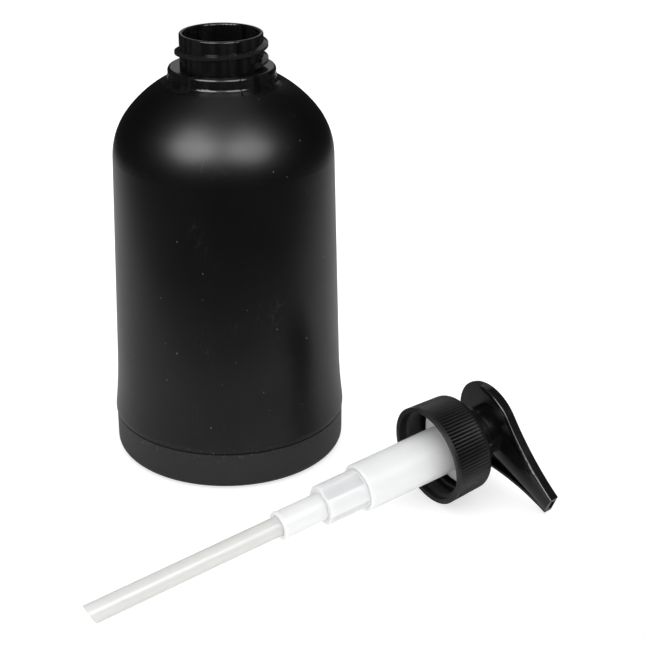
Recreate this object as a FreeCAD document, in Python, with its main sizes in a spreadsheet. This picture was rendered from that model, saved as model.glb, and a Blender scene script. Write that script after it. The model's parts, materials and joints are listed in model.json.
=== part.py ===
"""Pump oil bottle: a blow-moulded bottle and its lotion pump, taken off and lying beside it.

The frame stands on the bottle's base centre with +Z up, and +X runs along the pump from
its tube to its head. The pump is drawn about its own axis, with the height zero just inside its
closure and heights growing towards the head, and is then laid down.
"""

import FreeCAD, Part
import math
import os
import re

import Sketcher

Vector = FreeCAD.Vector

# Driving dimensions, in millimetres, degrees or counts
SIZES = {
    # bottle base and body
    "base_ring_radius": 36.2,
    "heel_round": 2.4,
    "stand_width": 4.8,
    "push_up": 2.5,
    "push_slope_width": 7.0,
    "base_wall": 1.5,
    "inner_heel_round": 2.0,
    "bottle_wall": 1.2,
    "seam_height": 11.95,
    "seam_groove_depth": 0.7,
    "seam_groove_half": 0.35,
    "seam_lip_step": 0.2,
    "seam_lip_height": 1.6,
    "flare_step": 1.1,
    "flare_height": 30.6,
    "flare_round": 165.0,
    "shoulder_step": 3.0,
    "shoulder_height": 95.6,
    "shoulder_round": 21.9,
    "shoulder_sweep": 37.8,
    "dome_round": 37.2,
    # bottle neck and its thread
    "neck_radius": 12.3,
    "neck_wall": 1.25,
    "neck_height": 9.75,
    "rim_round": 0.5,
    "flange_step": 2.25,
    "flange_height": 2.5,
    "flange_round": 1.0,
    "neck_ring_step": 0.2,
    "neck_ring_height": 1.0,
    "ring_fillet": 1.2,
    "thread_depth": 1.4,
    "thread_pitch": 4.23,
    "thread_turns": 1.22,
    "thread_first_height": 1.55,
    "thread_start_angle": -74.0,
    "thread_root_half": 1.1,
    "thread_crest_half": 0.4,
    "thread_sink": 0.2,
    # closure
    "closure_foot_gap": 0.75,
    "closure_rim_drop": 0.4,
    "closure_wall": 1.0,
    "closure_draft": 0.45,
    "closure_top_wall": 1.8,
    "closure_corner_round": 2.5,
    "closure_lip": 1.0,
    "flute_count": 90,
    "flute_depth": 0.3,
    "flute_half": 0.3,
    "thread_clearance": 0.2,
    "thread_gap": 0.45,
    "closure_thread_first": 1.6,
    "closure_thread_turns": 1.3,
    # pump fits
    "fit_gap": 0.02,
    "running_gap": 0.05,
    "swivel_gap": 0.3,
    "face_gap": 0.2,
    # housing and gasket
    "gasket_thickness": 1.45,
    "gasket_margin": 0.1,
    "housing_flange": 1.2,
    "barrel_bore_radius": 6.0,
    "barrel_wall": 1.35,
    "barrel_draft": 0.15,
    "barrel_end": 25.5,
    "barrel_edge": 0.5,
    "chamber_step": 1.0,
    "chamber_wall": 1.0,
    "chamber_length": 13.3,
    "chamber_floor": 0.6,
    "rib_count": 4,
    "rib_gap_half": 2.0,
    "rib_gap_depth": 0.55,
    "socket_wall": 1.15,
    "socket_rim_step": 0.25,
    "socket_rim_height": 0.8,
    "socket_length": 14.4,
    "seat_depth": 7.2,
    "seat_web": 0.8,
    "inlet_ball_gap": 0.6,
    "inlet_seat_width": 0.7,
    "nub_count": 3,
    "nub_half": 0.6,
    "nub_height": 0.8,
    "nub_bite": 0.35,
    # dip tube
    "tube_radius": 2.9,
    "tube_wall": 0.8,
    "tube_reach": 110.9,
    "tube_cut_angle": 20.0,
    # collar that holds the closure on the housing and guides the stem
    "lock_bore_radius": 6.5,
    "lock_floor": 1.65,
    "collar_wall": 1.5,
    "collar_lip": 2.0,
    "collar_height": 3.5,
    "collar_edge": 0.4,
    "collar_plug_length": 6.25,
    # stem, piston and spring, with the head locked down
    "stem_radius": 3.75,
    "stem_wall": 1.55,
    "stem_seat": 1.0,
    "piston_park": 4.4,
    "stop_count": 3,
    "stop_half": 0.35,
    "stop_height": 2.0,
    "stop_bite": 0.3,
    "outlet_lift": 1.95,
    "outlet_ball_gap": 0.4,
    "outlet_seat_width": 0.6,
    "piston_relief": 0.7,
    "piston_length": 5.4,
    "piston_lip": 1.2,
    "retainer_gap": 0.8,
    "retainer_thickness": 1.3,
    "retainer_spigot": 4.1,
    "pilot_gap": 0.3,
    "pilot_length": 2.0,
    "spring_gap": 0.3,
    "spring_wire_radius": 0.5,
    "spring_turns": 8,
    # actuator head
    "head_rise": 8.05,
    "head_depth": 3.4,
    "head_plate": 1.2,
    "head_wall": 1.2,
    "head_edge_round": 0.8,
    "head_rim_round": 0.5,
    "pad_radius": 13.7,
    "pad_back": 1.2,
    "back_opening_step": 2.1,
    "side_round": 73.0,
    "tip_reach": 31.0,
    "tip_half_width": 3.3,
    "spout_root_half_width": 6.8,
    "spout_tip_step": 0.1,
    "spout_edge_rise": 0.5,
    "spout_belly": 0.9,
    "hub_step": 1.4,
    "nose_gap": 0.25,
    "outlet_half_width": 1.95,
    "outlet_height": 1.6,
    "outlet_roof": 0.55,
    "dish_margin": 3.5,
    "dish_depth": 0.3,
    "dish_flat_radius": 2.0,
    # where the pump lies
    "pump_x": 27.73,
    "pump_y": -68.88,
    "spout_drop_angle": 27.0,
}

doc = FreeCAD.newDocument("PumpOilBottle")
sheet = doc.addObject("Spreadsheet::Sheet", "sizes")
for row, (alias, number) in enumerate(SIZES.items(), start=1):
    sheet.set(f"A{row}", alias)
    sheet.set(f"B{row}", str(number))
    sheet.setAlias(f"B{row}", alias)
doc.recompute()

WORD = re.compile(r"\b(" + "|".join(SIZES) + r")\b")


def bound(formula):
    """The formula as an expression on the sheet's cells."""
    return WORD.sub(r"sizes.\1", formula)


def value(formula):
    """The formula's number now."""
    result = sheet.evalExpression(bound(formula))
    return float(getattr(result, "Value", result))


# Radii that several pieces share
THREAD_RADIUS = "(neck_radius + thread_depth)"
CLOSURE_BORE = f"({THREAD_RADIUS} + thread_clearance)"
CLOSURE_TOP_RADIUS = f"({CLOSURE_BORE} + closure_wall)"
CLOSURE_RADIUS = f"({CLOSURE_TOP_RADIUS} + closure_draft)"
GASKET_RADIUS = "(neck_radius + gasket_margin)"
BARREL_RADIUS = "(barrel_bore_radius + barrel_wall)"
CHAMBER_BORE = "(barrel_bore_radius - chamber_step)"
SOCKET_RADIUS = "(tube_radius + socket_wall)"
INLET_BALL_RADIUS = "(tube_radius - inlet_ball_gap)"
INLET_SEAT_BORE = f"({INLET_BALL_RADIUS} - inlet_seat_width)"
STEM_BORE = "(stem_radius - stem_wall)"
OUTLET_BALL_RADIUS = f"({STEM_BORE} - outlet_ball_gap)"
OUTLET_SEAT_BORE = f"({OUTLET_BALL_RADIUS} - outlet_seat_width)"
SPRING_RADIUS = f"({CHAMBER_BORE} - spring_gap - spring_wire_radius)"
COLLAR_NECK_RADIUS = "(lock_bore_radius + collar_wall)"
STEM_GUIDE = "(stem_radius + running_gap)"

# Heights along the pump's axis that several pieces share
CLOSURE_RIM = "(-closure_rim_drop)"
GASKET_BOTTOM = f"({CLOSURE_RIM} + neck_height - closure_foot_gap)"
FLANGE_BOTTOM = f"({GASKET_BOTTOM} + gasket_thickness)"
FLANGE_TOP = f"({FLANGE_BOTTOM} + housing_flange)"
CLOSURE_CEILING = f"({FLANGE_TOP} + face_gap)"
CLOSURE_TOP = f"({CLOSURE_CEILING} + closure_top_wall)"
COLLAR_BOTTOM = f"({CLOSURE_TOP} + face_gap)"
COLLAR_TOP = f"({COLLAR_BOTTOM} + collar_height)"
LOCK_BOTTOM = f"({FLANGE_TOP} + lock_floor)"
CHAMBER_END = "(-barrel_end - chamber_length)"
CHAMBER_FLOOR = f"({CHAMBER_END} + chamber_floor)"
SOCKET_END = f"({CHAMBER_END} - socket_length)"
SEAT_BOTTOM = f"({CHAMBER_END} - seat_depth)"
SEAT_TOP = f"({SEAT_BOTTOM} + seat_web)"
STEM_BOTTOM = "(piston_park - barrel_end)"
PISTON_BOTTOM = f"({STEM_BOTTOM} + running_gap * 2)"
RETAINER_BOTTOM = f"({STEM_BOTTOM} - retainer_thickness)"
SPIGOT_TOP = f"({STEM_BOTTOM} + retainer_spigot)"
HUB_BOTTOM = f"({COLLAR_TOP} + swivel_gap)"
HEAD_TOP = f"({HUB_BOTTOM} + head_rise)"
RIM_BOTTOM = f"({HEAD_TOP} - head_depth)"
CHANNEL_TOP = f"({HEAD_TOP} - dish_depth - outlet_roof)"
CHANNEL_BOTTOM = f"({CHANNEL_TOP} - outlet_height)"
STEM_TOP = f"({CHANNEL_BOTTOM} - stem_seat)"


def ball_height(seat, radius, bore):
    """Centre height of a ball that rests on the edge of a seat's bore."""
    return f"({seat} + sqrt({radius} ^ 2 - {bore} ^ 2) + running_gap)"


INLET_BALL = ball_height(SEAT_TOP, INLET_BALL_RADIUS, INLET_SEAT_BORE)
OUTLET_BALL = ball_height(SPIGOT_TOP, OUTLET_BALL_RADIUS, OUTLET_SEAT_BORE)
STOP_BOTTOM = f"({OUTLET_BALL} + {OUTLET_BALL_RADIUS} + outlet_lift)"

# The laid pump touches the floor with the closure's rim and with the end of the dip tube
TILT = f"atan(({CLOSURE_RADIUS} - tube_radius) / (tube_reach - closure_rim_drop))"
PUMP_Z = f"({CLOSURE_RADIUS} * cos({TILT}) + closure_rim_drop * sin({TILT}))"
LAID_DOWN = f"rotation(vector(0; 1; 0); 90 deg - {TILT})"
PUMP_TURN = f"{LAID_DOWN} * rotation(vector(0; 0; 1); spout_drop_angle - 90)"
PUMP_PLACE = bound(f"placement(vector(pump_x; pump_y; {PUMP_Z}); {PUMP_TURN})")


def pump_place_at(height):
    """The pump's placement, moved along its axis to a height."""
    x = f"pump_x + {height} * cos({TILT})"
    z = f"{PUMP_Z} + {height} * sin({TILT})"
    return bound(f"placement(vector({x}; pump_y; {z}); {PUMP_TURN})")


def new_body(name, place=None):
    body = doc.addObject("PartDesign::Body", name)
    body.Label = name
    if place:
        body.setExpression("Placement", place)
    return body


def attach(sketch, body, role, height=None, turn=None):
    """Lay a sketch on one of the body's planes, raised along the normal or turned about Z."""
    plane = next(f for f in body.Origin.OriginFeatures if f.Role == role)
    sketch.AttachmentSupport = [(plane, "")]
    sketch.MapMode = "FlatFace"
    if height:
        sketch.setExpression("AttachmentOffset.Base.z", bound(height))
    if turn:
        spin = f"placement(vector(0; 0; 0); rotation(vector(0; 1; 0); {turn}))"
        sketch.setExpression("AttachmentOffset", bound(spin))
    doc.recompute()


def arc_between(start, end, radius, turn):
    """The shorter arc from start to end, and whether its own direction runs backwards."""
    chord = end - start
    middle = (start + end) * 0.5
    left = Vector(-chord.y, chord.x, 0).normalize()
    rise = math.sqrt(max(radius**2 - (chord.Length / 2) ** 2, 0))
    centre = middle + left * (rise if turn == "ccw" else -rise)
    first, last = (start, end) if turn == "ccw" else (end, start)
    angles = [math.atan2(p.y - centre.y, p.x - centre.x) for p in (first, last)]
    arc = Part.ArcOfCircle(Part.Circle(centre, Vector(0, 0, 1), radius), *angles)
    return arc, turn == "cw"


def bind(sketch, sizes):
    """Add constraints to a sketch, each with the formula that drives it."""
    for constraint, formula in sizes:
        number = sketch.addConstraint(constraint)
        sketch.setExpression(f"Constraints[{number}]", bound(formula))
    doc.recompute()


def outline(body, name, role, points, height=None, turn=None):
    """A closed sketch. A point is (x, y), or (x, y, radius, "ccw" or "cw") at the end of an arc."""
    sketch = body.newObject("Sketcher::SketchObject", name)
    attach(sketch, body, role, height, turn)
    corners = [Vector(value(p[0]), value(p[1]), 0) for p in points]
    ends = []
    sizes = []
    for i, start in enumerate(corners):
        following = (i + 1) % len(points)
        target = points[following]
        if len(target) == 4:
            shape, backwards = arc_between(start, corners[following], value(target[2]), target[3])
        else:
            shape, backwards = Part.LineSegment(start, corners[following]), False
        edge = sketch.addGeometry(shape, False)
        ends.append((edge, 2, 1) if backwards else (edge, 1, 2))
        if len(target) == 4:
            sizes.append((Sketcher.Constraint("Radius", edge, value(target[2])), target[2]))
    for i, point in enumerate(points):
        edge, begin, _ = ends[i]
        before, _, finish = ends[i - 1]
        sketch.addConstraint(Sketcher.Constraint("Coincident", before, finish, edge, begin))
        for kind, formula in (("DistanceX", point[0]), ("DistanceY", point[1])):
            sizes.append((Sketcher.Constraint(kind, -1, 1, edge, begin, value(formula)), formula))
    bind(sketch, sizes)
    return sketch


def circle(body, name, radius, height, role="XY_Plane", centre=("0", "0")):
    """A sketch of one circle."""
    sketch = body.newObject("Sketcher::SketchObject", name)
    attach(sketch, body, role, height)
    middle = Vector(value(centre[0]), value(centre[1]), 0)
    ring = sketch.addGeometry(Part.Circle(middle, Vector(0, 0, 1), value(radius)), False)
    sizes = [
        (Sketcher.Constraint("DistanceX", -1, 1, ring, 3, middle.x), centre[0]),
        (Sketcher.Constraint("DistanceY", -1, 1, ring, 3, middle.y), centre[1]),
        (Sketcher.Constraint("Radius", ring, value(radius)), radius),
    ]
    bind(sketch, sizes)
    return sketch


def turned(body, name, points, kind="PartDesign::Revolution"):
    """An outline in the XZ plane turned once about the body's Z axis."""
    sketch = outline(body, name + "_outline", "XZ_Plane", points)
    feature = body.newObject(kind, name)
    feature.Profile = sketch
    feature.ReferenceAxis = (sketch, ["V_Axis"])
    feature.Angle = 360
    doc.recompute()
    return feature


def raised(body, name, sketch, length, kind="PartDesign::Pad", back=False):
    """A pad or a pocket of a sketch: a pad rises along the axis, and back turns it round."""
    feature = body.newObject(kind, name)
    feature.Profile = sketch
    feature.setExpression("Length", bound(length))
    feature.Reversed = back
    doc.recompute()
    return feature


def changed(feature, before, sign):
    """Stop if a feature left the solid's volume as it was, or changed it the wrong way."""
    difference = feature.Shape.Volume - before
    if difference * sign <= 0:
        raise RuntimeError(f"{feature.Name} changed the volume by {difference:.3f}")


def cut_up(body, name, sketch, length):
    """A pocket that runs up the axis from its sketch."""
    before = body.Shape.Volume
    changed(raised(body, name, sketch, length, "PartDesign::Pocket", back=True), before, -1)


def around(body, name, feature, sketch, count):
    """Copies of a feature, evenly spaced about the axis."""
    pattern = body.newObject("PartDesign::PolarPattern", name)
    pattern.Originals = [feature]
    pattern.Axis = (sketch, ["N_Axis"])
    pattern.Angle = 360
    pattern.setExpression("Occurrences", bound(count))
    body.Tip = pattern
    doc.recompute()


def thread(body, name, root, crest, first, turns, angle):
    """A right-hand helical ridge from the root radius to the crest radius."""
    points = [
        (root, f"{first} - thread_root_half"),
        (crest, f"{first} - thread_crest_half"),
        (crest, f"{first} + thread_crest_half"),
        (root, f"{first} + thread_root_half"),
    ]
    if value(crest) < value(root):
        points.reverse()
    sketch = outline(body, name + "_outline", "XZ_Plane", points, turn=angle)
    before = body.Shape.Volume
    ridge = body.newObject("PartDesign::AdditiveHelix", name)
    ridge.Profile = sketch
    ridge.ReferenceAxis = (sketch, ["V_Axis"])
    ridge.Mode = 0
    ridge.setExpression("Pitch", bound("thread_pitch"))
    ridge.setExpression("Height", bound(f"thread_pitch * {turns}"))
    doc.recompute()
    changed(ridge, before, 1)


def rectangle(low_x, high_x, half):
    """Corner points of a rectangle that the X axis halves."""
    return [(low_x, f"-{half}"), (high_x, f"-{half}"), (high_x, half), (low_x, half)]


def make_bottle():
    """Blow-moulded bottle: base ring, parting groove, tapered body, domed shoulder, threaded neck."""
    stand_inner = "(base_ring_radius - heel_round - stand_width)"
    push_flat = f"({stand_inner} - push_slope_width)"
    ring_bore = "(base_ring_radius - seam_groove_depth - bottle_wall)"
    lip_radius = "(base_ring_radius + seam_lip_step)"
    flare_radius = "(base_ring_radius - flare_step)"
    shoulder_radius = "(base_ring_radius - shoulder_step)"
    flange_radius = f"({THREAD_RADIUS} + flange_step)"
    neck_ring_radius = f"({flange_radius} + neck_ring_step)"
    neck_bore = "(neck_radius - neck_wall)"
    slope = "((shoulder_step - flare_step) / (shoulder_height - flare_height))"
    slope_cos = f"(1 / sqrt(1 + {slope} ^ 2))"
    slope_sin = f"({slope} * {slope_cos})"
    sweep_cos = "cos(shoulder_sweep * 1 deg)"
    sweep_sin = "sin(shoulder_sweep * 1 deg)"
    # the shoulder's arc leaves the body along its taper, and the dome's arc carries it on
    turn_r = f"({shoulder_radius} - shoulder_round * ({slope_cos} - {sweep_cos}))"
    turn_z = f"(shoulder_height + shoulder_round * ({sweep_sin} - {slope_sin}))"
    dome_r = f"({turn_r} - dome_round * {sweep_cos})"
    dome_z = f"({turn_z} - dome_round * {sweep_sin})"
    dome_top = f"({dome_z} + sqrt(dome_round ^ 2 - ({neck_ring_radius} - {dome_r}) ^ 2))"
    # a hollow fillet between the dome and the neck's ring touches both
    blend_span = "(dome_round + ring_fillet)"
    blend_out = f"({neck_ring_radius} + ring_fillet - {dome_r})"
    blend_up = f"sqrt({blend_span} ^ 2 - {blend_out} ^ 2)"
    blend_r = f"({dome_r} + dome_round * {blend_out} / {blend_span})"
    blend_z = f"({dome_z} + dome_round * {blend_up} / {blend_span})"
    blend_top = f"({dome_z} + {blend_up})"
    ring_top = f"({dome_top} + neck_ring_height)"
    flange_top = f"({ring_top} + flange_height)"
    mouth = f"({flange_top} + neck_height)"
    # the inside follows the outside at one wall's distance
    inner_dome = "(dome_round - bottle_wall)"
    inner_turn_r = f"({turn_r} - bottle_wall * {sweep_cos})"
    inner_turn_z = f"({turn_z} - bottle_wall * {sweep_sin})"
    inner_shoulder_r = f"({shoulder_radius} - bottle_wall * {slope_cos})"
    inner_shoulder_z = f"(shoulder_height - bottle_wall * {slope_sin})"
    throat = f"({dome_z} + sqrt({inner_dome} ^ 2 - ({neck_bore} - {dome_r}) ^ 2))"
    body = new_body("bottle")
    turned(body, "bottle_shell", [
        ("0", "push_up"),
        (push_flat, "push_up"),
        (stand_inner, "0"),
        ("base_ring_radius - heel_round", "0"),
        ("base_ring_radius", "heel_round", "heel_round", "ccw"),
        ("base_ring_radius", "seam_height - seam_groove_half"),
        ("base_ring_radius - seam_groove_depth", "seam_height"),
        (lip_radius, "seam_height + seam_groove_half"),
        (lip_radius, "seam_height + seam_lip_height"),
        (flare_radius, "flare_height", "flare_round", "cw"),
        (shoulder_radius, "shoulder_height"),
        (turn_r, turn_z, "shoulder_round", "ccw"),
        (blend_r, blend_z, "dome_round", "ccw"),
        (neck_ring_radius, blend_top, "ring_fillet", "cw"),
        (neck_ring_radius, ring_top),
        (flange_radius, ring_top),
        (flange_radius, f"{flange_top} - flange_round"),
        (f"{flange_radius} - flange_round", flange_top, "flange_round", "ccw"),
        ("neck_radius", flange_top),
        ("neck_radius", f"{mouth} - rim_round"),
        ("neck_radius - rim_round", mouth, "rim_round", "ccw"),
        (f"{neck_bore} + rim_round", mouth),
        (neck_bore, f"{mouth} - rim_round", "rim_round", "ccw"),
        (neck_bore, throat),
        (inner_turn_r, inner_turn_z, inner_dome, "cw"),
        (inner_shoulder_r, inner_shoulder_z, "shoulder_round - bottle_wall", "cw"),
        (f"{flare_radius} - bottle_wall", "flare_height"),
        (ring_bore, "seam_height"),
        (ring_bore, "base_wall + inner_heel_round"),
        (f"{ring_bore} - inner_heel_round", "base_wall", "inner_heel_round", "cw"),
        (stand_inner, "base_wall"),
        (push_flat, "push_up + base_wall"),
        ("0", "push_up + base_wall"),
    ])
    thread(body, "bottle_thread", "neck_radius - thread_sink", THREAD_RADIUS,
           f"{flange_top} + thread_first_height", "thread_turns", "thread_start_angle")
    print(f"bottle height {value(mouth):.2f} mm, flange top {value(flange_top):.2f} mm")
    print(f"neck's straight bore from {value(throat):.2f} to {value(mouth):.2f} mm")


def make_closure():
    """Screw closure: fluted, slightly drawn-in skirt with a plain lip, rounded corner, thread inside."""
    hole = f"({COLLAR_NECK_RADIUS} + swivel_gap)"
    body = new_body("closure", PUMP_PLACE)
    turned(body, "closure_shell", [
        (CLOSURE_BORE, CLOSURE_RIM),
        (CLOSURE_RADIUS, CLOSURE_RIM),
        (CLOSURE_TOP_RADIUS, f"{CLOSURE_TOP} - closure_corner_round"),
        (f"{CLOSURE_TOP_RADIUS} - closure_corner_round", CLOSURE_TOP, "closure_corner_round", "ccw"),
        (hole, CLOSURE_TOP),
        (hole, CLOSURE_CEILING),
        (CLOSURE_BORE, CLOSURE_CEILING),
    ])
    thread(body, "closure_thread", f"{CLOSURE_BORE} + thread_sink", "neck_radius + thread_gap",
           f"{CLOSURE_RIM} + closure_thread_first", "closure_thread_turns", "0")
    flute = outline(body, "flute_outline", "XY_Plane", [
        (f"{CLOSURE_TOP_RADIUS} - flute_depth", "0"),
        (f"{CLOSURE_RADIUS} + flute_depth", "-flute_half * 2"),
        (f"{CLOSURE_RADIUS} + flute_depth", "flute_half * 2"),
    ], height=f"{CLOSURE_RIM} + closure_lip")
    cut_up(body, "flute", flute, f"{CLOSURE_TOP} - {CLOSURE_RIM}")
    around(body, "flutes", body.Tip, flute, "flute_count")


def make_gasket():
    """Flat ring that seals the housing's flange on the bottle's mouth."""
    turned(new_body("gasket", PUMP_PLACE), "gasket_ring", [
        (f"{BARREL_RADIUS} + fit_gap", GASKET_BOTTOM),
        (GASKET_RADIUS, GASKET_BOTTOM),
        (GASKET_RADIUS, FLANGE_BOTTOM),
        (f"{BARREL_RADIUS} + fit_gap", FLANGE_BOTTOM),
    ])


def make_housing():
    """Pump housing: flange, barrel, ribbed spring chamber, ball seat and tube socket."""
    body = new_body("housing", PUMP_PLACE)
    barrel_end_radius = f"({BARREL_RADIUS} - barrel_draft)"
    chamber_radius = f"({CHAMBER_BORE} + chamber_wall)"
    socket_rim_radius = f"({SOCKET_RADIUS} + socket_rim_step)"
    turned(body, "housing_shell", [
        ("tube_radius + fit_gap", SOCKET_END),
        (socket_rim_radius, SOCKET_END),
        (socket_rim_radius, f"{SOCKET_END} + socket_rim_height"),
        (SOCKET_RADIUS, f"{SOCKET_END} + socket_rim_height"),
        (SOCKET_RADIUS, CHAMBER_END),
        (f"{chamber_radius} - barrel_edge", CHAMBER_END),
        (chamber_radius, f"{CHAMBER_END} + barrel_edge"),
        (chamber_radius, "-barrel_end"),
        (f"{barrel_end_radius} - barrel_edge", "-barrel_end"),
        (barrel_end_radius, "barrel_edge - barrel_end", "barrel_edge", "ccw"),
        (BARREL_RADIUS, GASKET_BOTTOM),
        (BARREL_RADIUS, FLANGE_BOTTOM),
        (GASKET_RADIUS, FLANGE_BOTTOM),
        (GASKET_RADIUS, FLANGE_TOP),
        ("barrel_bore_radius", FLANGE_TOP),
        ("barrel_bore_radius", "barrel_edge - barrel_end"),
        (CHAMBER_BORE, "-barrel_end"),
        (CHAMBER_BORE, CHAMBER_FLOOR),
        ("tube_radius", CHAMBER_FLOOR),
        ("tube_radius", SEAT_TOP),
        (INLET_SEAT_BORE, SEAT_TOP),
        (INLET_SEAT_BORE, SEAT_BOTTOM),
        ("tube_radius + fit_gap", SEAT_BOTTOM),
    ])
    rib_root = f"({chamber_radius} - rib_gap_depth)"
    gap = outline(body, "rib_gap_outline", "XY_Plane",
                  rectangle(rib_root, f"{chamber_radius} * 1.2", "rib_gap_half"), height=CHAMBER_END)
    cut_up(body, "rib_gap", gap, "chamber_length - barrel_edge")
    around(body, "rib_gaps", body.Tip, gap, "rib_count")
    nub_reach = f"({INLET_BALL_RADIUS} - nub_bite)"
    nub = outline(body, "ball_nub_outline", "XY_Plane",
                  rectangle(nub_reach, "tube_radius + socket_wall / 2", "nub_half"),
                  height=f"{CHAMBER_FLOOR} - nub_height")
    before = body.Shape.Volume
    changed(raised(body, "ball_nub", nub, "nub_height"), before, 1)
    around(body, "ball_nubs", body.Tip, nub, "nub_count")


def make_collar():
    """Collar: plugs into the housing, carries the closure, takes the locked head, guides the stem."""
    collar_radius = f"({COLLAR_NECK_RADIUS} + collar_lip)"
    plug_bottom = f"({FLANGE_TOP} - collar_plug_length)"
    turned(new_body("collar", PUMP_PLACE), "collar_ring", [
        (STEM_GUIDE, plug_bottom),
        ("barrel_bore_radius - fit_gap", plug_bottom),
        ("barrel_bore_radius - fit_gap", FLANGE_TOP),
        (COLLAR_NECK_RADIUS, FLANGE_TOP),
        (COLLAR_NECK_RADIUS, COLLAR_BOTTOM),
        (collar_radius, COLLAR_BOTTOM),
        (collar_radius, f"{COLLAR_TOP} - collar_edge"),
        (f"{collar_radius} - collar_edge", COLLAR_TOP, "collar_edge", "ccw"),
        ("lock_bore_radius", COLLAR_TOP),
        ("lock_bore_radius", LOCK_BOTTOM),
        (STEM_GUIDE, LOCK_BOTTOM),
    ])


def make_dip_tube():
    """Dip tube from the ball seat's underside to a slanted end, longest on its upper side."""
    body = new_body("dip_tube", PUMP_PLACE)
    tube_bore = "(tube_radius - tube_wall)"
    far_end = "(tube_reach + tube_radius * 4)"
    turned(body, "tube_shell", [
        (tube_bore, f"-{far_end}"),
        ("tube_radius", f"-{far_end}"),
        ("tube_radius", SEAT_BOTTOM),
        (tube_bore, SEAT_BOTTOM),
    ])
    # the cut's plane is drawn from the side on which the floor lies
    reach = "(tube_radius * 2)"
    rise = f"{reach} * tan(tube_cut_angle * 1 deg)"
    start = "(tube_radius * tan(tube_cut_angle * 1 deg))"
    sketch = outline(body, "tube_cut_outline", "XZ_Plane", [
        (f"-{reach}", f"-tube_reach - {start} - {rise}"),
        (f"-{reach}", f"-{far_end} - tube_radius"),
        (reach, f"-{far_end} - tube_radius"),
        (reach, f"-tube_reach - {start} + {rise}"),
    ], turn="90 - spout_drop_angle")
    before = body.Shape.Volume
    cut = raised(body, "tube_cut", sketch, "tube_radius * 4", "PartDesign::Pocket")
    cut.Midplane = True
    doc.recompute()
    changed(cut, before, -1)


def make_ball(name, radius, height):
    """Valve ball on its seat."""
    ball = doc.addObject("Part::Sphere", name)
    ball.Label = name
    ball.setExpression("Radius", bound(radius))
    ball.setExpression("Placement", pump_place_at(height))


def make_stem():
    """Hollow stem with three stops inside that end the outlet ball's lift."""
    body = new_body("stem", PUMP_PLACE)
    turned(body, "stem_shell", [
        (STEM_BORE, STEM_BOTTOM),
        ("stem_radius", STEM_BOTTOM),
        ("stem_radius", STEM_TOP),
        (STEM_BORE, STEM_TOP),
    ])
    stop_reach = f"({OUTLET_BALL_RADIUS} - stop_bite)"
    stop = outline(body, "ball_stop_outline", "XY_Plane",
                   rectangle(stop_reach, "stem_radius - stem_wall / 2", "stop_half"), height=STOP_BOTTOM)
    before = body.Shape.Volume
    changed(raised(body, "ball_stop", stop, "stop_height"), before, 1)
    around(body, "ball_stops", body.Tip, stop, "stop_count")


def make_piston():
    """Piston with a wiping lip at each end, round the stem."""
    lip = "(barrel_bore_radius - running_gap)"
    waist = "(barrel_bore_radius - piston_relief)"
    top = f"({PISTON_BOTTOM} + piston_length)"
    turned(new_body("piston", PUMP_PLACE), "piston_ring", [
        (STEM_GUIDE, PISTON_BOTTOM),
        (waist, PISTON_BOTTOM),
        (lip, f"{PISTON_BOTTOM} + piston_lip / 3"),
        (lip, f"{PISTON_BOTTOM} + piston_lip"),
        (waist, f"{PISTON_BOTTOM} + piston_lip * 2"),
        (waist, f"{top} - piston_lip * 2"),
        (lip, f"{top} - piston_lip"),
        (lip, f"{top} - piston_lip / 3"),
        (waist, top),
        (STEM_GUIDE, top),
    ])


def make_piston_retainer():
    """Plug in the stem's end: holds the piston, seats the outlet ball and takes the spring."""
    pilot_bottom = f"({RETAINER_BOTTOM} - pilot_length)"
    pilot_radius = f"({SPRING_RADIUS} - spring_wire_radius - pilot_gap)"
    retainer_radius = "(barrel_bore_radius - retainer_gap)"
    spigot_radius = f"({STEM_BORE} - fit_gap)"
    turned(new_body("piston_retainer", PUMP_PLACE), "retainer_plug", [
        (OUTLET_SEAT_BORE, pilot_bottom),
        (pilot_radius, pilot_bottom),
        (pilot_radius, RETAINER_BOTTOM),
        (retainer_radius, RETAINER_BOTTOM),
        (retainer_radius, STEM_BOTTOM),
        (spigot_radius, STEM_BOTTOM),
        (spigot_radius, SPIGOT_TOP),
        (OUTLET_SEAT_BORE, SPIGOT_TOP),
    ])


def make_return_spring():
    """Coil spring between the chamber's floor and the retainer."""
    body = new_body("return_spring", PUMP_PLACE)
    bottom = f"({CHAMBER_FLOOR} + spring_wire_radius + running_gap)"
    top = f"({RETAINER_BOTTOM} - spring_wire_radius - running_gap)"
    wire = circle(body, "wire_outline", "spring_wire_radius", None, "XZ_Plane", (SPRING_RADIUS, bottom))
    coil = body.newObject("PartDesign::AdditiveHelix", "coil")
    coil.Profile = wire
    coil.ReferenceAxis = (wire, ["V_Axis"])
    coil.Mode = 0
    coil.setExpression("Pitch", bound(f"({top} - {bottom}) / spring_turns"))
    coil.setExpression("Height", bound(f"{top} - {bottom}"))
    doc.recompute()
    gap = value(f"({top} - {bottom}) / spring_turns - spring_wire_radius * 2")
    print(f"least gap between the spring's turns {gap:.2f} mm")


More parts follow.
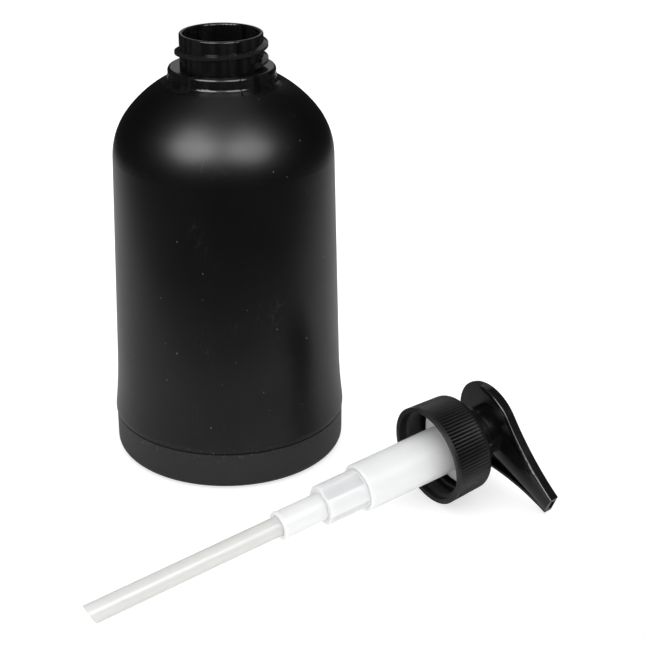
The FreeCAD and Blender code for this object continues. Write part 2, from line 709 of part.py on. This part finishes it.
def paddle(body, name, height, inset):
    """The head's outline: a round back, drawn-in sides and a straight tip, moved in by an inset."""
    sketch = body.newObject("Sketcher::SketchObject", name)
    attach(sketch, body, "XY_Plane", height)
    back = value(f"pad_radius - {inset}")
    side = value(f"side_round + {inset}")
    centre_x = value("-pad_back")
    tip_x = value(f"tip_reach - {inset}")
    tip_y = value(f"tip_half_width - {inset}")
    # the side arcs' centres lie outside, at one radius sum from the back and one radius from the tip
    span = math.hypot(tip_x - centre_x, tip_y)
    reach = back + side
    lift = math.acos((span**2 + reach**2 - side**2) / (2 * span * reach))
    bearing = math.atan2(tip_y, tip_x - centre_x) + lift
    meet = Vector(centre_x + back * math.cos(bearing), back * math.sin(bearing), 0)
    tips = [Vector(tip_x, tip_y, 0), Vector(tip_x, -tip_y, 0)]
    meets = [meet, Vector(meet.x, -meet.y, 0)]
    round_back = Part.Arc(meets[0], Vector(centre_x - back, 0, 0), meets[1])
    lower, _ = arc_between(meets[1], tips[1], side, "cw")
    upper, _ = arc_between(tips[0], meets[0], side, "cw")
    end = Part.LineSegment(tips[1], tips[0])
    arc, low, tip, high = [sketch.addGeometry(shape, False) for shape in (round_back, lower, end, upper)]
    fix = Sketcher.Constraint
    # an arc runs counter-clockwise, so each side arc starts at its tip or ends there
    joints = [(arc, 2, low, 2), (arc, 1, high, 1)]
    for first, first_end, second, second_end in joints:
        sketch.addConstraint(fix("Tangent", first, first_end, second, second_end))
    sketch.addConstraint(fix("Coincident", low, 1, tip, 1))
    sketch.addConstraint(fix("Coincident", high, 2, tip, 2))
    sizes = [
        (fix("DistanceX", -1, 1, arc, 3, centre_x), "-pad_back"),
        (fix("DistanceY", -1, 1, arc, 3, 0.0), "0"),
        (fix("Radius", arc, back), f"pad_radius - {inset}"),
        (fix("Radius", low, side), f"side_round + {inset}"),
        (fix("Radius", high, side), f"side_round + {inset}"),
        (fix("DistanceX", -1, 1, tip, 1, tip_x), f"tip_reach - {inset}"),
        (fix("DistanceX", -1, 1, tip, 2, tip_x), f"tip_reach - {inset}"),
        (fix("DistanceY", -1, 1, tip, 2, tip_y), f"tip_half_width - {inset}"),
        (fix("DistanceY", -1, 1, tip, 1, -tip_y), f"{inset} - tip_half_width"),
    ]
    bind(sketch, sizes)
    return sketch


def rounded(body, name, choose, radius):
    """Round the edges of the body's highest or lowest face, which max or min chooses."""
    solid = body.Tip
    faces = solid.Shape.Faces
    number = choose(range(len(faces)), key=lambda i: faces[i].CenterOfMass.z) + 1
    edge = body.newObject("PartDesign::Fillet", name)
    edge.Base = (solid, [f"Face{number}"])
    edge.setExpression("Radius", bound(radius))
    doc.recompute()


def spout_section(body, name, reach, half):
    """The spout's cross-section at a reach from the axis: straight sides and a round belly."""
    edge = f"({RIM_BOTTOM} + spout_edge_rise)"
    plate = f"({HEAD_TOP} - head_plate)"
    belly_round = f"(({half} ^ 2 + spout_belly ^ 2) / (2 * spout_belly))"
    return outline(body, name, "YZ_Plane", [
        (f"-{half}", edge),
        (half, edge, belly_round, "ccw"),
        (half, plate),
        (f"-{half}", plate),
    ], height=reach)


def make_actuator_head():
    """Paddle head: hollow underneath and open at the back, with a hub, a locking nose and a spout."""
    body = new_body("actuator_head", PUMP_PLACE)
    hollow_depth = "head_depth - head_plate"
    raised(body, "paddle_block", paddle(body, "paddle_outline", RIM_BOTTOM, "0"), "head_depth")
    rounded(body, "paddle_edge", max, "head_edge_round")
    rounded(body, "paddle_rim", min, "head_rim_round")
    dish_radius = "(pad_radius - dish_margin)"
    dish_slope = f"({dish_radius} - dish_flat_radius)"
    dish_round = f"(({dish_slope} ^ 2 + dish_depth ^ 2) / (2 * dish_depth))"
    turned(body, "thumb_dish", [
        ("0", f"{HEAD_TOP} - dish_depth"),
        ("dish_flat_radius", f"{HEAD_TOP} - dish_depth"),
        (dish_radius, HEAD_TOP, dish_round, "ccw"),
        (dish_radius, f"{HEAD_TOP} + dish_depth"),
        ("0", f"{HEAD_TOP} + dish_depth"),
    ], "PartDesign::Groove")
    cut_up(body, "hollow", paddle(body, "hollow_outline", RIM_BOTTOM, "head_wall"), hollow_depth)
    back_end = "-pad_back - pad_radius * 1.1"
    opening_half = "(pad_radius - back_opening_step)"
    opening = outline(body, "back_opening_outline", "XY_Plane",
                      rectangle(back_end, "0", opening_half), height=RIM_BOTTOM)
    cut_up(body, "back_opening", opening, hollow_depth)
    before = body.Shape.Volume
    root = spout_section(body, "spout_root", "0", "spout_root_half_width")
    tip = spout_section(body, "spout_tip", "tip_reach", "(tip_half_width - spout_tip_step)")
    spout = body.newObject("PartDesign::AdditiveLoft", "spout")
    spout.Profile = root
    spout.Sections = [tip]
    spout.Ruled = True
    doc.recompute()
    changed(spout, before, 1)
    nose_radius = "(lock_bore_radius - swivel_gap)"
    nose_bottom = f"({LOCK_BOTTOM} + nose_gap)"
    hub_outline = circle(body, "hub_outline", f"{nose_radius} + hub_step", HUB_BOTTOM)
    raised(body, "hub", hub_outline, "head_rise - head_plate")
    nose_outline = circle(body, "nose_outline", nose_radius, nose_bottom)
    raised(body, "nose", nose_outline, f"{HUB_BOTTOM} - {nose_bottom}")
    socket_outline = circle(body, "stem_socket_outline", "stem_radius + fit_gap", nose_bottom)
    cut_up(body, "stem_socket", socket_outline, f"{STEM_TOP} - {nose_bottom}")
    bore_outline = circle(body, "rising_bore_outline", STEM_BORE, STEM_TOP)
    cut_up(body, "rising_bore", bore_outline, f"{CHANNEL_TOP} - {STEM_TOP}")
    channel = outline(body, "channel_outline", "XY_Plane",
                      rectangle("0", "tip_reach * 1.1", "outlet_half_width"), height=CHANNEL_BOTTOM)
    cut_up(body, "channel", channel, "outlet_height")


make_bottle()
make_closure()
make_gasket()
make_housing()
make_collar()
make_dip_tube()
make_ball("inlet_ball", INLET_BALL_RADIUS, INLET_BALL)
make_return_spring()
make_piston()
make_piston_retainer()
make_ball("outlet_ball", OUTLET_BALL_RADIUS, OUTLET_BALL)
make_stem()
make_actuator_head()
doc.recompute()

faults = [o.Name for o in doc.Objects if {"Invalid", "Error"} & set(o.State)]
pieces = [o for o in doc.Objects if o.TypeId in ("PartDesign::Body", "Part::Sphere")]
for piece in pieces:
    if piece.Shape.isNull() or not piece.Shape.isValid() or len(piece.Shape.Solids) != 1:
        faults.append(piece.Label)
if faults:
    raise RuntimeError("faulty objects: " + ", ".join(faults))

os.makedirs("parts", exist_ok=True)
for piece in pieces:
    piece.Shape.exportStep(f"parts/{piece.Label}.step")
print(f"pump tilt {value(TILT):.3f} degrees, closure centre height {value(PUMP_Z):.3f} mm")
print(f"{len(pieces)} pieces written")
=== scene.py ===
"""Looks of the pump oil bottle: materials, light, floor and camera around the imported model."""

import json
import math

import bmesh
import bpy
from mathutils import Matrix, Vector

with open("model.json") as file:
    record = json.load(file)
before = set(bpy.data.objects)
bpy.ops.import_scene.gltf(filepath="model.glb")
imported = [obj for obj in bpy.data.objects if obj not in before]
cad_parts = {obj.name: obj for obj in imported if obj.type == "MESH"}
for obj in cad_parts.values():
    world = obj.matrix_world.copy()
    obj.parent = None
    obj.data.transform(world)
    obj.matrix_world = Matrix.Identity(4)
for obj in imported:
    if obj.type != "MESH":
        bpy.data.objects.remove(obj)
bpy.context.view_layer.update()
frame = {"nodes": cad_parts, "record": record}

MM = 0.001

# Heights on the bottle, in metres, and how softly one zone's look passes into the next
SEAM_HEIGHT = 11.95 * MM
SEAM_GROOVE_HALF = 0.4 * MM
RING_BLEND = 0.3 * MM
NECK_START = 117.2 * MM
NECK_BLEND = 0.8 * MM
RIDGE_START = 122.6 * MM
# Radii of the neck between which its thread's ridge rises and the painted highlight on the ridge fades in
RIDGE_FOOT = 12.6 * MM
RIDGE_CREST = 13.3 * MM
# The shoulder's two arcs: height of each arc's centre, and its radius; the height where they meet
SHOULDER_ARC = (94.96 * MM, 21.9 * MM)
DOME_ARC = (85.58 * MM, 37.2 * MM)
ARCS_MEET = 108.38 * MM
# Distances from that height between which the smoothed normal fades out
ARCS_BLEND_FAR = 5 * MM
ARCS_BLEND_NEAR = 3 * MM
# The mould's halves meet in an upright plane through the bottle's axis, at this angle from +X
MOULD_LINE_ANGLE = math.radians(-101.5)
MOULD_LINE_WIDTH = 0.35 * MM
MOULD_LINE_HEIGHT = 0.2 * MM

# Roughness of the bottle's body from place to place, and what its other zones add to it
BODY_ROUGHNESS = (0.34, 0.38)
RING_ROUGHER = 0.12
GROOVE_ROUGHER = 0.5
NECK_SMOOTHER = -0.23
# Linear tones of the bottle's zones; the neck's tones are painted reflection streaks and the ridge's tone is
# a painted highlight
BODY_TONE = 0.0006
NECK_REFLECTION_TONES = (0.002, 0.009)
RIDGE_HIGHLIGHT_TONE = 0.011
RING_TONES = (0.0095, 0.014)
RING_WARMTH = 0.02
# Dust, hairline scratches and scuffs on the bottle: tone, and how strongly each covers the plastic
DUST_TONE = 0.22
DUST_COVER = 0.4
HAIR_TONE = 0.08
HAIR_COVER = 0.12
HAIR_TURNS = ((0.3, 0.9, 0.5), (-0.4, 1.9, -0.2))
SCUFF_TONE = 0.10
SCUFF_COVER = 0.6
SCUFF_REACH = 3 * MM

# The paddle's plate above the hollow in the head: thickness, margin to find its underside, added roughness
PADDLE_PLATE = 1.2 * MM
PLATE_MARGIN = 0.3 * MM
HOLLOW_ROUGHER = 0.32

# Most of a noise's values lie between these
NOISE_SPAN = (0.3, 0.7)

# The photograph's camera, in the frame of the part
CAMERA_PLACE = Vector((-207.6, -362.0, 232.2)) * MM
CAMERA_TURN = (math.radians(65.148), math.radians(-0.271), math.radians(-33.808))
CAMERA_LENS = 80.93
CAMERA_SENSOR = 36.0
CAMERA_NEAREST = 0.01
CAMERA_AZIMUTH = -33.8

# Studio: softboxes left, right and above the camera, weak ones behind and overhead, and a pale floor
# Each softbox: azimuth and elevation in degrees, and radiance
SOFTBOXES = (
    (CAMERA_AZIMUTH - 37, 43, 8.8),
    (CAMERA_AZIMUTH + 36, 43, 7.0),
    (CAMERA_AZIMUTH - 1, 43, 2.3),
    (CAMERA_AZIMUTH + 180, 32, 0.4),
    (CAMERA_AZIMUTH + 180, 80, 0.5),
)
SOFTBOX_DISTANCE = 1.0
SOFTBOX_RADIUS = 0.35
LIGHT_AIM = Vector((0.0, -0.03, 0.06))
FLOOR_RADIUS = 0.30
FLOOR_SIDES = 128
FLOOR_BACK = 0.17
FLOOR_GAP = 0.02 * MM
FLOOR_TONES = (0.58, 0.5916)
FLOOR_GLOW = 0.60
AMBIENT_FOR_DIFFUSE = 1.25
AMBIENT_FOR_GLOSS = 0.02
AMBIENT_FOR_EYE = 1.0


class Shader:
    """A material's nodes, with a short way to add and link them."""

    def __init__(self, name):
        self.material = bpy.data.materials.new(name)
        self.material.use_nodes = True
        self.tree = self.material.node_tree
        self.surface = self.tree.nodes["Principled BSDF"]
        coordinates = self.add("ShaderNodeTexCoord")
        self.place = coordinates.outputs["Object"]
        self.normal = coordinates.outputs["Normal"]

    def add(self, kind, inputs=None, **settings):
        """A node with its settings; an input is a number, a colour or another node's socket."""
        made = self.tree.nodes.new(kind)
        for name, setting in settings.items():
            setattr(made, name, setting)
        self.feed(made, inputs or {})
        return made

    def feed(self, made, inputs):
        """Set or link a node's inputs."""
        for name, given in inputs.items():
            socket = made.inputs[name]
            if isinstance(given, bpy.types.NodeSocket):
                self.tree.links.new(given, socket)
            else:
                socket.default_value = given

    def set(self, **inputs):
        """Set or link the surface's own sockets, named with _ for a space."""
        self.feed(self.surface, {name.replace("_", " "): given for name, given in inputs.items()})

    def math(self, operation, first, second=0.0, third=0.0, clamp=False):
        """A step of arithmetic on up to three numbers."""
        inputs = {0: first, 1: second, 2: third}
        return self.add("ShaderNodeMath", inputs, operation=operation, use_clamp=clamp).outputs[0]

    def ramp(self, given, low, high, to_low=0.0, to_high=1.0):
        """A smooth step of a number from one range to another."""
        inputs = {"Value": given, "From Min": low, "From Max": high, "To Min": to_low, "To Max": to_high}
        return self.add("ShaderNodeMapRange", inputs, interpolation_type="SMOOTHSTEP").outputs["Result"]

    def noise(self, size, detail=2.0, roughness=0.5, place=None):
        """Noise whose features are about one size across, in metres."""
        inputs = {"Vector": place or self.place, "Scale": 1 / size, "Detail": detail, "Roughness": roughness}
        return self.add("ShaderNodeTexNoise", inputs).outputs["Fac"]

    def specks(self, spacing, size, share):
        """Small round specks: one in each picked cell of a grid of cells."""
        inputs = {"Vector": self.place, "Scale": 1 / spacing}
        cells = self.add("ShaderNodeTexVoronoi", inputs)
        near = self.ramp(cells.outputs["Distance"], size / spacing, size / spacing * 0.5)
        parts = self.add("ShaderNodeSeparateColor", {"Color": cells.outputs["Color"]})
        picked = self.math("LESS_THAN", parts.outputs["Red"], share)
        return self.math("MULTIPLY", near, picked)

    def stretched(self, turn, length):
        """The place, drawn out along one turned axis."""
        inputs = {"Vector": self.place, "Rotation": turn, "Scale": (length, 1.0, 1.0)}
        return self.add("ShaderNodeMapping", inputs, vector_type="TEXTURE").outputs["Vector"]

    def hairs(self, turn, size=2.5 * MM, length=8.0, width=0.012):
        """Sparse hairline scratches, all much the same way round."""
        drawn = self.stretched(turn, length)
        level = self.math("ABSOLUTE", self.math("SUBTRACT", self.noise(size, detail=0.0, place=drawn), 0.5))
        line = self.ramp(level, width, 0.0)
        return self.math("MULTIPLY", line, self.ramp(self.noise(14 * MM, detail=1.0), 0.58, 0.66))

    def mix(self, amount, first, second):
        """A colour between two."""
        inputs = {"Factor": amount, 6: first, 7: second}
        return self.add("ShaderNodeMix", inputs, data_type="RGBA").outputs[2]

    def mix_vectors(self, amount, first, second):
        """A vector between two."""
        inputs = {"Factor": amount, 4: first, 5: second}
        return self.add("ShaderNodeMix", inputs, data_type="VECTOR").outputs[1]

    def cover(self, under, mask, strength, tone):
        """A colour with a grey laid over it where a mask is."""
        return self.mix(self.math("MULTIPLY", mask, strength), under, grey(tone))

    def bump(self, height, depth, strength=1.0, under=None):
        """A normal raised by a height from 0 to 1, as deep as a size in metres."""
        inputs = {"Height": height, "Distance": depth, "Strength": strength}
        if under:
            inputs["Normal"] = under
        return self.add("ShaderNodeBump", inputs).outputs["Normal"]

    def along(self, vector, axis):
        """How far a vector reaches along an axis."""
        inputs = {0: vector, 1: axis}
        return self.add("ShaderNodeVectorMath", inputs, operation="DOT_PRODUCT").outputs["Value"]

    def axes(self):
        """The place's x, y and z."""
        return self.add("ShaderNodeSeparateXYZ", {"Vector": self.place}).outputs

    def from_axis(self):
        """How far the place is from the bottle's upright axis."""
        level = self.add("ShaderNodeVectorMath", {0: self.place, 1: (1, 1, 0)}, operation="MULTIPLY")
        inputs = {0: level.outputs["Vector"]}
        return self.add("ShaderNodeVectorMath", inputs, operation="LENGTH").outputs["Value"]

    def apart(self, first, second):
        """How far two numbers are from each other."""
        return self.math("ABSOLUTE", self.math("SUBTRACT", first, second))


def grey(level, warmth=0.0):
    """A linear grey, a little warmer or cooler."""
    return (level * (1 + warmth), level, level * (1 - warmth), 1.0)


def arc_rise(shader, height, arc):
    """Upward part of the normal of one of the shoulder's arcs."""
    centre, radius = arc
    return shader.math("DIVIDE", shader.math("SUBTRACT", height, centre), radius)


def shoulder_normal(shader):
    """The mesh's normal, smoothed over the line where the shoulder's two arcs meet."""
    x, y, z = shader.axes()
    rise = shader.math("MINIMUM", arc_rise(shader, z, SHOULDER_ARC), arc_rise(shader, z, DOME_ARC))
    run = shader.math("SQRT", shader.math("SUBTRACT", 1.0, shader.math("MULTIPLY", rise, rise)))
    spread = shader.math("DIVIDE", run, shader.from_axis())
    parts = {"X": shader.math("MULTIPLY", x, spread), "Y": shader.math("MULTIPLY", y, spread), "Z": rise}
    smooth = shader.add("ShaderNodeCombineXYZ", parts).outputs["Vector"]
    near = shader.ramp(shader.apart(z, ARCS_MEET), ARCS_BLEND_FAR, ARCS_BLEND_NEAR)
    outside = shader.math("GREATER_THAN", shader.along(shader.normal, smooth), 0.5)
    return shader.mix_vectors(shader.math("MULTIPLY", near, outside), shader.normal, smooth)


def bottle_material():
    """Black blow-moulded plastic: satin body, duller base ring with painted shade in its seam's groove,
    glossy neck with the mould's line, painted reflection streaks and a painted highlight on the thread's
    ridge, dust.
    """
    shader = Shader("bottle_satin_black")
    x, y, z = shader.axes()
    in_ring = shader.ramp(z, SEAM_HEIGHT + RING_BLEND, SEAM_HEIGHT - RING_BLEND)
    in_neck = shader.ramp(z, NECK_START, NECK_START + NECK_BLEND)
    from_seam = shader.apart(z, SEAM_HEIGHT)
    in_groove = shader.ramp(from_seam, SEAM_GROOVE_HALF, SEAM_GROOVE_HALF * 0.6)
    # where the painted highlight on the thread's ridge goes
    raised = shader.ramp(shader.from_axis(), RIDGE_FOOT, RIDGE_CREST)
    ridge_highlight = shader.math("MULTIPLY", raised, shader.math("GREATER_THAN", z, RIDGE_START))

    # roughness: satin, then the ring, its dull groove and the neck
    cloud = shader.noise(30 * MM, detail=3.0)
    satin = shader.ramp(cloud, *NOISE_SPAN, *BODY_ROUGHNESS)
    with_ring = shader.math("MULTIPLY_ADD", in_ring, RING_ROUGHER, satin)
    with_groove = shader.math("MULTIPLY_ADD", in_groove, GROOVE_ROUGHER, with_ring)
    roughness = shader.math("MULTIPLY_ADD", in_neck, NECK_SMOOTHER, with_groove)

    # colour of the plastic: near black, a neck lifted with painted reflection streaks, a painted highlight
    # on the thread's ridge, a paler base ring, and the seam's groove painted black as painted shade
    upright = shader.add("ShaderNodeMapping", {"Vector": shader.place, "Scale": (1.0, 1.0, 0.04)})
    streak = shader.noise(2.5 * MM, detail=3.0, place=upright.outputs["Vector"])
    # the neck's two tones: painted reflection streaks over a neck lifted above the body's black
    reflection_dark, reflection_pale = map(grey, NECK_REFLECTION_TONES)
    painted_reflection_streaks = shader.mix(shader.ramp(streak, *NOISE_SPAN), reflection_dark, reflection_pale)
    # painted highlight along the thread's ridge
    neck = shader.mix(ridge_highlight, painted_reflection_streaks, grey(RIDGE_HIGHLIGHT_TONE))
    body = shader.mix(in_neck, grey(BODY_TONE), neck)
    fluff = shader.noise(0.9 * MM, detail=3.0, roughness=0.7)
    ring_dark, ring_pale = RING_TONES
    ring = shader.mix(shader.ramp(fluff, 0.4, 0.7), grey(ring_dark, RING_WARMTH), grey(ring_pale))
    # the seam's groove painted black: painted shade in the groove
    plastic = shader.mix(in_groove, shader.mix(in_ring, body, ring), grey(0.0))

    # over it: dust below the neck, hairline scratches, and scuffs along the seam
    fine_dust = shader.specks(spacing=4 * MM, size=0.26 * MM, share=0.45)
    coarse_dust = shader.specks(spacing=6 * MM, size=0.34 * MM, share=0.3)
    dust = shader.math("MAXIMUM", fine_dust, coarse_dust)
    dust_cover = shader.math("MULTIPLY_ADD", in_neck, -DUST_COVER, DUST_COVER)
    dusty = shader.cover(plastic, dust, dust_cover, DUST_TONE)
    one_way, other_way = map(shader.hairs, HAIR_TURNS)
    hairs = shader.math("ADD", one_way, other_way, clamp=True)
    scratched = shader.cover(dusty, hairs, HAIR_COVER, HAIR_TONE)
    scuff = shader.math("MULTIPLY", shader.ramp(fluff, 0.60, 0.70), shader.ramp(from_seam, SCUFF_REACH, 0.0))
    colour = shader.cover(scratched, scuff, SCUFF_COVER, SCUFF_TONE)

    # relief: fine grain, and on the neck a faint line where the mould's halves met
    across = shader.math("MULTIPLY", x, math.sin(MOULD_LINE_ANGLE))
    off_plane = shader.apart(across, shader.math("MULTIPLY", y, math.cos(MOULD_LINE_ANGLE)))
    neck_line = shader.math("MULTIPLY", shader.ramp(off_plane, MOULD_LINE_WIDTH, 0.0), in_neck)
    grain = shader.noise(0.35 * MM)
    grained = shader.bump(grain, depth=0.012 * MM, strength=0.6, under=shoulder_normal(shader))
    normal = shader.bump(neck_line, depth=MOULD_LINE_HEIGHT, under=grained)
    shader.set(Base_Color=colour, Roughness=roughness, Normal=normal, IOR=1.45)
    return shader.material


def closure_material():
    """Black moulded polypropylene, satin, with a little dust."""
    shader = Shader("closure_satin_black")
    cloud = shader.noise(6 * MM, detail=3.0)
    grain = shader.noise(0.25 * MM)
    dust = shader.specks(spacing=4 * MM, size=0.18 * MM, share=0.12)
    colour = shader.cover(grey(0.005), dust, strength=0.5, tone=0.09)
    roughness = shader.ramp(cloud, *NOISE_SPAN, to_low=0.38, to_high=0.46)
    normal = shader.bump(grain, depth=0.01 * MM, strength=0.5)
    shader.set(Base_Color=colour, Roughness=roughness, Normal=normal, IOR=1.5)
    return shader.material


def head_material():
    """Black glossy plastic with faint flow waves and dust; the hollow under the paddle is duller."""
    shader = Shader("head_gloss_black")
    axis = pump_axis()
    top = max(axis.dot(corner.co) for corner in frame["nodes"]["actuator_head"].data.vertices)
    height = shader.along(shader.place, axis)
    deep = shader.math("GREATER_THAN", height, top - PADDLE_PLATE - PLATE_MARGIN)
    downward = shader.math("LESS_THAN", shader.along(shader.normal, axis), -0.5)
    in_hollow = shader.math("MULTIPLY", deep, downward)
    waves = shader.noise(9 * MM, detail=1.0)
    smears = shader.noise(4 * MM, detail=4.0)
    dust = shader.specks(spacing=4 * MM, size=0.15 * MM, share=0.10)
    colour = shader.cover(grey(0.005), dust, strength=0.4, tone=0.08)
    gloss = shader.ramp(smears, 0.35, 0.7, to_low=0.13, to_high=0.20)
    roughness = shader.math("MULTIPLY_ADD", in_hollow, HOLLOW_ROUGHER, gloss)
    normal = shader.bump(waves, depth=0.03 * MM, strength=0.5)
    shader.set(Base_Color=colour, Roughness=roughness, Normal=normal, IOR=1.5)
    return shader.material


def white_material(name, level, roughness, depth):
    """White moulded plastic that lets a little light in, to a depth in metres."""
    shader = Shader(name)
    cloud = shader.noise(8 * MM, detail=3.0)
    grain = shader.noise(0.5 * MM)
    colour = shader.mix(shader.ramp(cloud, 0.25, 0.75), grey(level), grey(level * 0.975, 0.004))
    uneven = shader.ramp(cloud, *NOISE_SPAN, *roughness)
    normal = shader.bump(grain, depth=0.01 * MM, strength=0.4)
    shader.set(Base_Color=colour, Roughness=uneven, Normal=normal, IOR=1.48)
    shader.set(Subsurface_Weight=0.7, Subsurface_Radius=(1.0, 0.95, 0.9), Subsurface_Scale=depth)
    return shader.material


def tube_material():
    """Translucent extruded tube: milky, with faint draw lines along it."""
    shader = Shader("tube_milky")
    turn = Vector((1, 0, 0)).rotation_difference(pump_axis()).to_euler()
    drawn = shader.noise(0.6 * MM, place=shader.stretched(turn, length=50.0))
    cloud = shader.noise(5 * MM, detail=3.0)
    colour = shader.mix(cloud, (0.91, 0.91, 0.89, 1.0), (0.94, 0.94, 0.92, 1.0))
    normal = shader.bump(drawn, depth=0.005 * MM, strength=0.3)
    shader.set(Base_Color=colour, Roughness=0.3, Normal=normal, IOR=1.5)
    shader.set(Transmission_Weight=0.4)
    return shader.material


def steel_material():
    """Drawn stainless wire and polished balls."""
    shader = Shader("steel_bright")
    smears = shader.noise(0.8 * MM, detail=3.0)
    colour = shader.mix(smears, grey(0.52, 0.01), grey(0.66))
    roughness = shader.ramp(smears, *NOISE_SPAN, to_low=0.18, to_high=0.30)
    shader.set(Base_Color=colour, Roughness=roughness, Metallic=1.0)
    return shader.material


def pump_axis():
    """Direction of the pump's axis, from the record's joints."""
    joints = frame["record"]["behaviour"]["joints"]
    return Vector(next(joint["axis"] for joint in joints if joint["name"] == "pump_stroke"))


def dress(material, *names):
    """Give CAD nodes a material."""
    for name in names:
        mesh = frame["nodes"][name].data
        mesh.materials.clear()
        mesh.materials.append(material)


def direction(azimuth, elevation):
    """Unit vector from the part towards a place round it: azimuth 0 is -Y and 90 is +X."""
    around = math.radians(azimuth)
    up = math.radians(elevation)
    return Vector((math.sin(around) * math.cos(up), -math.cos(around) * math.cos(up), math.sin(up)))


def softbox(name, azimuth, elevation, radiance):
    """A round area light that faces the part and shows in its gloss; the surroundings light the rest."""
    light = bpy.data.lights.new(name, "AREA")
    light.shape = "DISK"
    light.size = SOFTBOX_RADIUS * 2
    disc_area = math.pi * SOFTBOX_RADIUS**2
    light.energy = radiance * math.pi * disc_area
    lamp = bpy.data.objects.new(name, light)
    bpy.context.collection.objects.link(lamp)
    lamp.visible_diffuse = False
    lamp.visible_transmission = False
    outward = direction(azimuth, elevation)
    lamp.location = LIGHT_AIM + outward * SOFTBOX_DISTANCE
    lamp.rotation_euler = outward.to_track_quat("Z", "Y").to_euler()


def make_floor():
    """Pale round floor that ends shortly in front of the part; the part's gloss doesn't show its glow."""
    shader = Shader("floor_pale")
    low_tone, high_tone = map(grey, FLOOR_TONES)
    colour = shader.mix(shader.noise(80 * MM), low_tone, high_tone)
    shader.set(Base_Color=colour, Roughness=0.9, Specular_IOR_Level=0.1)
    in_gloss = shader.add("ShaderNodeLightPath").outputs["Is Glossy Ray"]
    glow = shader.math("MULTIPLY_ADD", in_gloss, -FLOOR_GLOW, FLOOR_GLOW)
    shader.set(Emission_Color=grey(1.0), Emission_Strength=glow)
    mesh = bpy.data.meshes.new("floor")
    shape = bmesh.new()
    bmesh.ops.create_circle(shape, cap_ends=True, segments=FLOOR_SIDES, radius=FLOOR_RADIUS)
    shape.to_mesh(mesh)
    shape.free()
    mesh.materials.append(shader.material)
    floor = bpy.data.objects.new("floor", mesh)
    bpy.context.collection.objects.link(floor)
    floor.location = direction(CAMERA_AZIMUTH, 0) * -FLOOR_BACK - Vector((0, 0, FLOOR_GAP))


def make_world():
    """White surroundings for the eye, dim for the gloss, soft fill for the rest."""
    world = bpy.data.worlds.new("studio")
    world.use_nodes = True
    bpy.context.scene.world = world
    tree = world.node_tree
    back = tree.nodes["Background"]
    back.inputs["Color"].default_value = grey(1.0)
    path = tree.nodes.new("ShaderNodeLightPath")
    gloss = tree.nodes.new("ShaderNodeMix")
    gloss.inputs["A"].default_value = AMBIENT_FOR_DIFFUSE
    gloss.inputs["B"].default_value = AMBIENT_FOR_GLOSS
    tree.links.new(path.outputs["Is Glossy Ray"], gloss.inputs["Factor"])
    seen = tree.nodes.new("ShaderNodeMix")
    seen.inputs["B"].default_value = AMBIENT_FOR_EYE
    tree.links.new(gloss.outputs["Result"], seen.inputs["A"])
    tree.links.new(path.outputs["Is Camera Ray"], seen.inputs["Factor"])
    tree.links.new(seen.outputs["Result"], back.inputs["Strength"])


def make_camera():
    """The photograph's camera."""
    lens = bpy.data.cameras.new("camera")
    lens.lens = CAMERA_LENS
    lens.sensor_width = CAMERA_SENSOR
    lens.clip_start = CAMERA_NEAREST
    camera = bpy.data.objects.new("camera", lens)
    bpy.context.collection.objects.link(camera)
    camera.location = CAMERA_PLACE
    camera.rotation_euler = CAMERA_TURN
    bpy.context.scene.camera = camera


housing_white = white_material("housing_white", level=0.82, roughness=(0.30, 0.40), depth=3.0 * MM)
gasket_white = white_material("gasket_white", level=0.80, roughness=(0.55, 0.65), depth=1.0 * MM)
piston_white = white_material("piston_white", level=0.80, roughness=(0.45, 0.55), depth=1.0 * MM)
dress(bottle_material(), "bottle")
dress(closure_material(), "closure")
dress(head_material(), "actuator_head", "collar")
dress(housing_white, "housing", "stem")
dress(gasket_white, "gasket")
dress(piston_white, "piston", "piston_retainer")
dress(tube_material(), "dip_tube")
dress(steel_material(), "return_spring", "inlet_ball", "outlet_ball")

make_floor()
make_world()
for number, (azimuth, elevation, radiance) in enumerate(SOFTBOXES, start=1):
    softbox(f"softbox_{number}", azimuth, elevation, radiance)
make_camera()
bpy.context.scene.view_settings.view_transform = "Standard"
